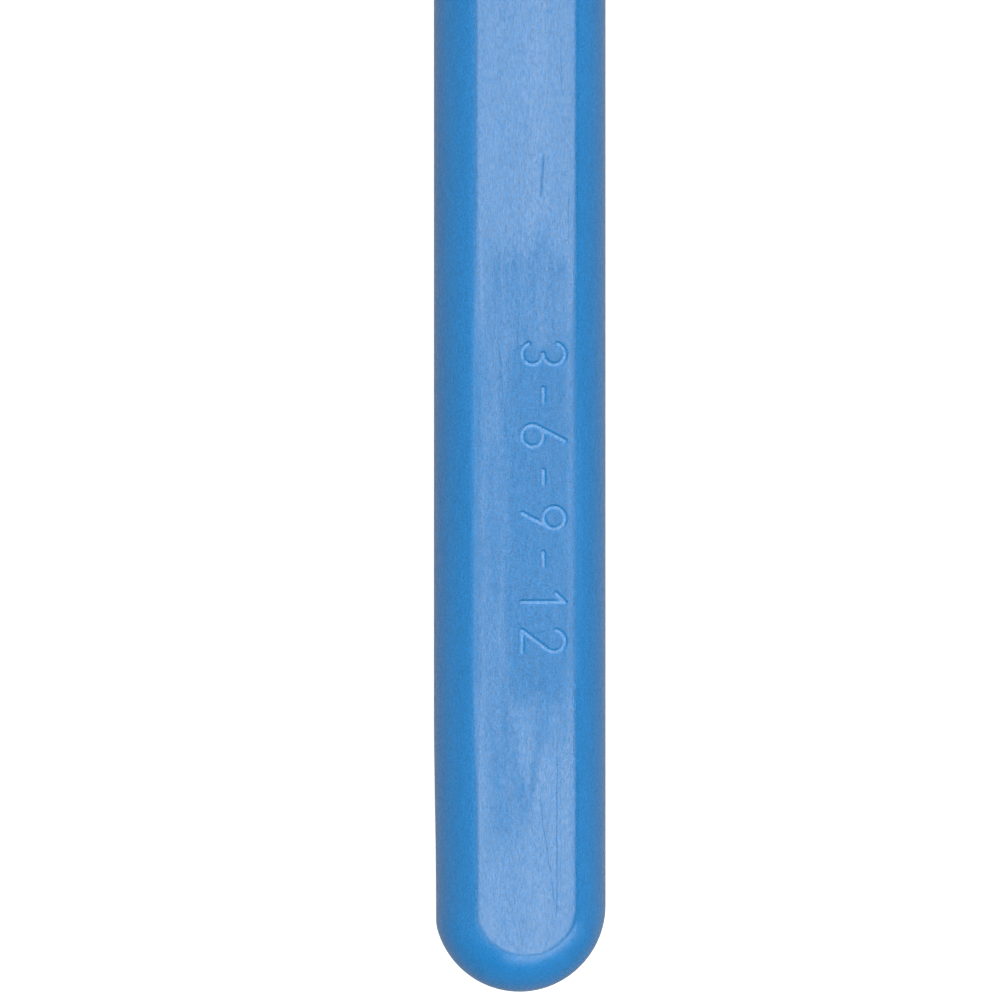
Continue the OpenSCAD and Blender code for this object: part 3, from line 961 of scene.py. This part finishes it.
stage = {
    "floorSize": 6.0,  # metres
    "floorForObject": 0.38,  # the floor's grey as the object sees it, and beyond the butt
    "floorBeyondButt": 0.16,
    "floorForCamera": 0.5,
    "floorGlow": 0.78,  # lifts the floor to white without losing the contact shadow
    "floorFade": (-6.0, 4.0),  # where the one runs into the other, from the butt, in millimetres
    "skyForCamera": 1.4,
    "skyToSides": 0.36,  # the surroundings' brightness left and right, fading to none fore and aft
    "lightHeight": 0.6,
    # Each softbox: its place across and along, its width and length (metres), and its brightness.
    "softboxes": {"overhead": (0.08, -0.05, 0.3, 0.6, 3.85), "left": (-0.31, -0.15, 0.42, 1.0, 2.35)},
    # The panel beyond the butt stands upright, turned to face the handle from its right.
    "panelTurn": 28.0,
    "panelDistance": 0.95,
    "panelAside": -0.025,
    "panelHeight": 0.71,
    "panelSize": (1.45, 0.58),
    "panelBrightness": 2.8,
}

view = {
    "lens": 500.0,
    "frameHeight": 46.5,  # millimetres of the handle that the frame takes in
    "pastButt": 0.4,  # clear floor under the butt
    "leftOfAxis": 0.92,  # the frame's middle lies this far left of the handle's
    "roll": 7.35,  # degrees that the camera leans over the handle's left side
}


def buildFloor():
    half = stage["floorSize"] / 2
    corners = [(-half, -half, 0), (half, -half, 0), (half, half, 0), (-half, half, 0)]
    mesh = bpy.data.meshes.new("floor")
    mesh.from_pydata(corners, [], [(0, 1, 2, 3)])
    floor = bpy.data.objects.new("floor", mesh)
    bpy.context.scene.collection.objects.link(floor)
    material = bpy.data.materials.new("paleFloor")
    tree = emptyTree(material)
    along = node(tree, "SeparateXYZ", in0=objectPlace(tree)).outputs[1]
    start, stop = (handle["buttEnd"] + offset for offset in stage["floorFade"])
    grey = result(tree, "MapRange", Value=along, in1=start, in2=stop, in3=stage["floorBeyondButt"],
                  in4=stage["floorForObject"])
    toObject = result(tree, "BsdfDiffuse", Color=grey)
    toCamera = result(tree, "BsdfDiffuse", Color=(stage["floorForCamera"],) * 3 + (1,))
    glow = result(tree, "Emission", Color=(1, 1, 1, 1), Strength=stage["floorGlow"])
    lifted = result(tree, "AddShader", in0=toCamera, in1=glow)
    path = node(tree, "LightPath")
    chosen = result(tree, "MixShader", in0=path.outputs["Is Camera Ray"], in1=toObject, in2=lifted)
    node(tree, "OutputMaterial", Surface=chosen)
    mesh.materials.append(material)


def addSoftbox(name, place, width, length, brightness):
    # Power = brightness * pi * area.
    light = bpy.data.lights.new(name, "AREA")
    light.shape = "RECTANGLE"
    light.size, light.size_y = width, length
    light.energy = brightness * math.pi * width * length
    box = bpy.data.objects.new(name, light)
    box.location = place
    box.visible_camera = False
    bpy.context.scene.collection.objects.link(box)
    return box


def buildLight():
    world = bpy.data.worlds.new("studio")
    bpy.context.scene.world = world
    tree = emptyTree(world)
    path = node(tree, "LightPath")
    direction = node(tree, "SeparateXYZ", in0=node(tree, "TexCoord").outputs["Generated"])
    sideShare = times(tree, direction.outputs[0], direction.outputs[0])
    dim = times(tree, sideShare, stage["skyToSides"])
    sky = mixed(tree, path.outputs["Is Camera Ray"], dim, stage["skyForCamera"])
    node(tree, "OutputWorld", Surface=result(tree, "Background", Color=(1, 1, 1, 1), Strength=sky))
    for name, (across, along, width, length, brightness) in stage["softboxes"].items():
        addSoftbox(name, (across, along, stage["lightHeight"]), width, length, brightness)
    turn = math.radians(stage["panelTurn"])
    outward = Vector((math.sin(turn), -math.cos(turn), 0))
    sideways = Vector((math.cos(turn), math.sin(turn), 0))
    place = outward * stage["panelDistance"] + sideways * stage["panelAside"]
    place.z = stage["panelHeight"]
    panel = addSoftbox("panel", place, *stage["panelSize"], stage["panelBrightness"])
    panel.rotation_euler = (math.radians(90), 0, turn)


def buildCamera():
    # The frame's lower edge lies just past the butt, and the camera looks down, leaning to the left.
    lean = math.radians(view["roll"])
    right = Vector((math.cos(lean), 0, math.sin(lean)))
    back = Vector((-math.sin(lean), 0, math.cos(lean)))
    axis = (handleLow[0] + handleHigh[0]) / 2
    along = handle["buttEnd"] - view["pastButt"] + view["frameHeight"] / 2
    target = Vector((axis, along, thickness / 2)) - right * view["leftOfAxis"]
    data = bpy.data.cameras.new("camera")
    data.lens = view["lens"]
    data.clip_start = 0.01
    distance = view["frameHeight"] / data.sensor_width * data.lens
    camera = bpy.data.objects.new("camera", data)
    turn = Matrix((right, Vector((0, 1, 0)), back)).transposed().to_4x4()
    camera.matrix_world = Matrix.Translation((target + back * distance) * metresPerMm) @ turn
    bpy.context.scene.collection.objects.link(camera)
    bpy.context.scene.camera = camera


buildCamera()
buildFloor()
buildLight()
print("stage, light and camera are set")

groups = {"grain": grainGroup(), "hairlines": scratchGroup(), "pits": pitGroup(), "mark": markGroup()}
moulding = buildHandle()
moulding.data.materials.append(plasticMaterial(groups))
print("handle moulding:", len(moulding.data.polygons), "faces")

shank = buildShank()
shank.data.materials.append(steelMaterial(groups))
print("steel shank:", len(shank.data.polygons), "faces")

epoxy = bandMaterial(groups)
for mark, cadName in zip(steel["bandedFrom"], ["depth_band_3_6", "depth_band_9_12"]):
    buildBand(mark, cadName).data.materials.append(epoxy)
print("depth bands are on the tip")

bpy.context.scene.view_settings.view_transform = "Standard"
